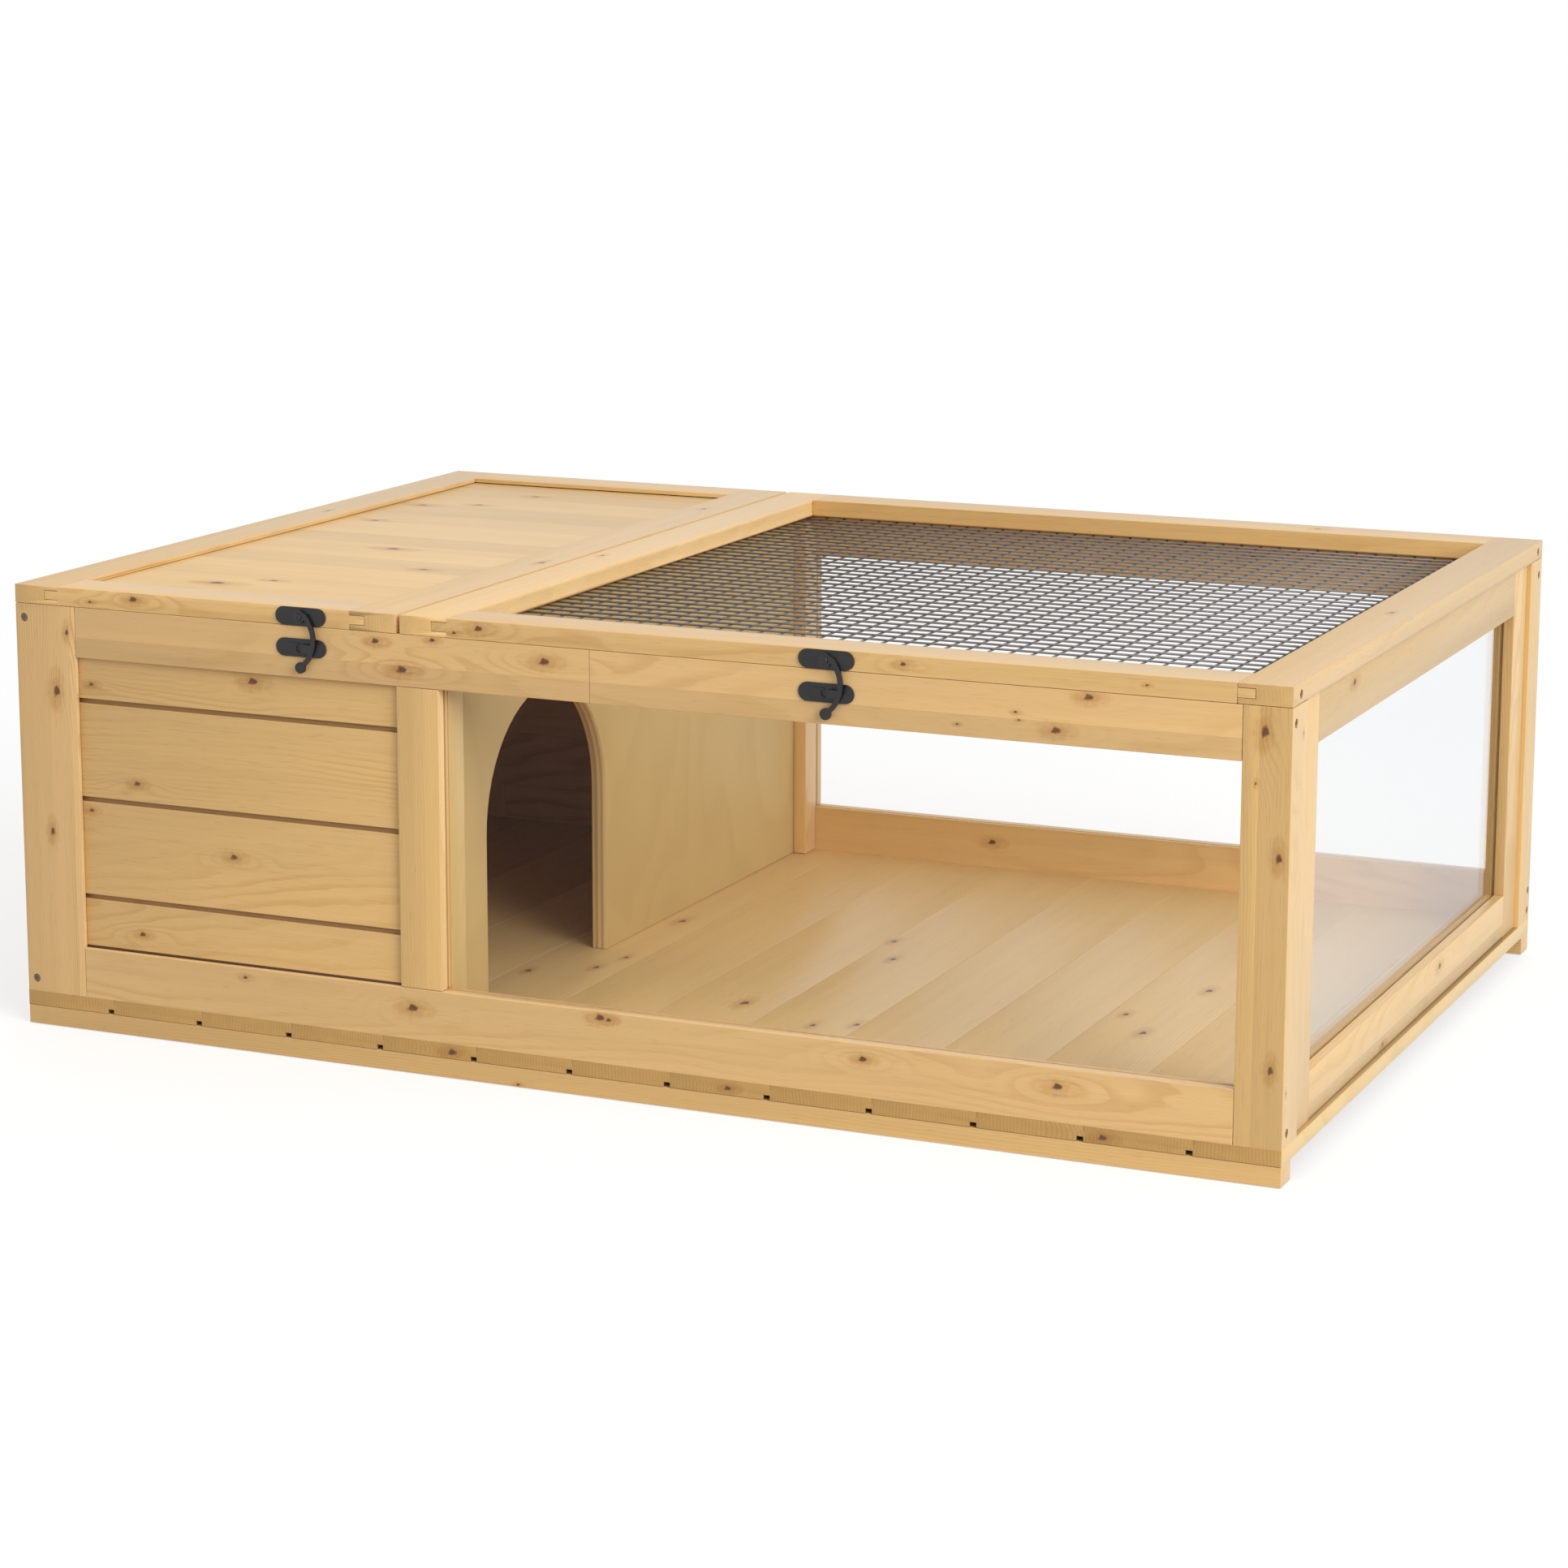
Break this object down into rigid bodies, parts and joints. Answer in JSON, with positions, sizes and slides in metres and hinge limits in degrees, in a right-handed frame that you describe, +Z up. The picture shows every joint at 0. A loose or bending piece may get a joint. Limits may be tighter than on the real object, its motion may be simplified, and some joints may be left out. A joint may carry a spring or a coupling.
{
  "type": "tortoise house",
  "caption": "Low planed pine tortoise house: a boarded sleeping room under a solid hinged lid, beside a glazed run under a hinged wire mesh lid with swing hook latches.",
  "frame": {"origin": "middle of the whole outline's base, on the ground under the skids", "axes": "+X along the front towards the glazed end, +Y from the front with the latches to the back with the hinges, +Z up"},
  "size_m": [0.98, 0.696, 0.3355],
  "materials": {
    "pine": "planed, clear sealed",
    "plywood": "plain plywood",
    "window": "clear",
    "black_metal": "black, satin",
    "wire": "dark grey, satin"
  },
  "bodies": {
    "house": {"back_boards": "pine", "back_bottom_rail": "pine", "back_corner_stile": "pine", "back_end_stile": "pine", "back_mullion": "pine", "back_pane": "window", "back_top_rail": "pine", "floor": "pine", "front_boards_1": "pine", "front_boards_2": "pine", "front_boards_3": "pine", "front_boards_4": "pine", "front_bottom_rail": "pine", "front_corner_stile": "pine", "front_end_stile": "pine", "front_mullion": "pine", "front_pane": "window", "front_skid": "pine", "front_top_rail": "pine", "left_boards": "pine", "left_bottom_rail": "pine", "left_front_stile": "pine", "left_keeper": "black_metal", "left_lid_left_hinge_wall_leaf": "black_metal", "left_lid_right_hinge_wall_leaf": "black_metal", "left_rear_stile": "pine", "left_top_rail": "pine", "partition": "plywood", "partition_front_batten": "pine", "partition_rear_batten": "pine", "rear_skid": "pine", "right_bottom_rail": "pine", "right_front_leg": "pine", "right_front_stile": "pine", "right_keeper": "black_metal", "right_lid_left_hinge_wall_leaf": "black_metal", "right_lid_right_hinge_wall_leaf": "black_metal", "right_pane": "window", "right_rear_leg": "pine", "right_rear_stile": "pine", "right_top_rail": "pine"},
    "left_lid": {"left_latch_plate": "black_metal", "left_lid_back_rail": "pine", "left_lid_front_rail": "pine", "left_lid_left_hinge_lid_leaf": "black_metal", "left_lid_left_rail": "pine", "left_lid_panel": "pine", "left_lid_right_hinge_lid_leaf": "black_metal", "left_lid_right_rail": "pine"},
    "right_lid": {"right_latch_plate": "black_metal", "right_lid_back_rail": "pine", "right_lid_front_rail": "pine", "right_lid_left_hinge_lid_leaf": "black_metal", "right_lid_left_rail": "pine", "right_lid_mesh": "wire", "right_lid_right_hinge_lid_leaf": "black_metal", "right_lid_right_rail": "pine"},
    "left_hook": {"left_hook": "black_metal"},
    "right_hook": {"right_hook": "black_metal"}
  },
  "joints": [
    {"name": "left_lid_hinge", "type": "hinge", "parent": "house", "child": "left_lid", "pos_m": [-0.32925, 0.34495, 0.32155], "axis": [-1, 0, 0], "range_deg": [0, 110]},
    {"name": "right_lid_hinge", "type": "hinge", "parent": "house", "child": "right_lid", "pos_m": [0.1624, 0.34495, 0.32155], "axis": [-1, 0, 0], "range_deg": [0, 110]},
    {"name": "left_hook_pivot", "type": "hinge", "parent": "left_lid", "child": "left_hook", "pos_m": [-0.2454, -0.34555, 0.3286], "axis": [0, -1, 0], "range_deg": [0, 120]},
    {"name": "right_hook_pivot", "type": "hinge", "parent": "right_lid", "child": "right_hook", "pos_m": [0.164, -0.34555, 0.3286], "axis": [0, -1, 0], "range_deg": [0, 120]}
  ]
}
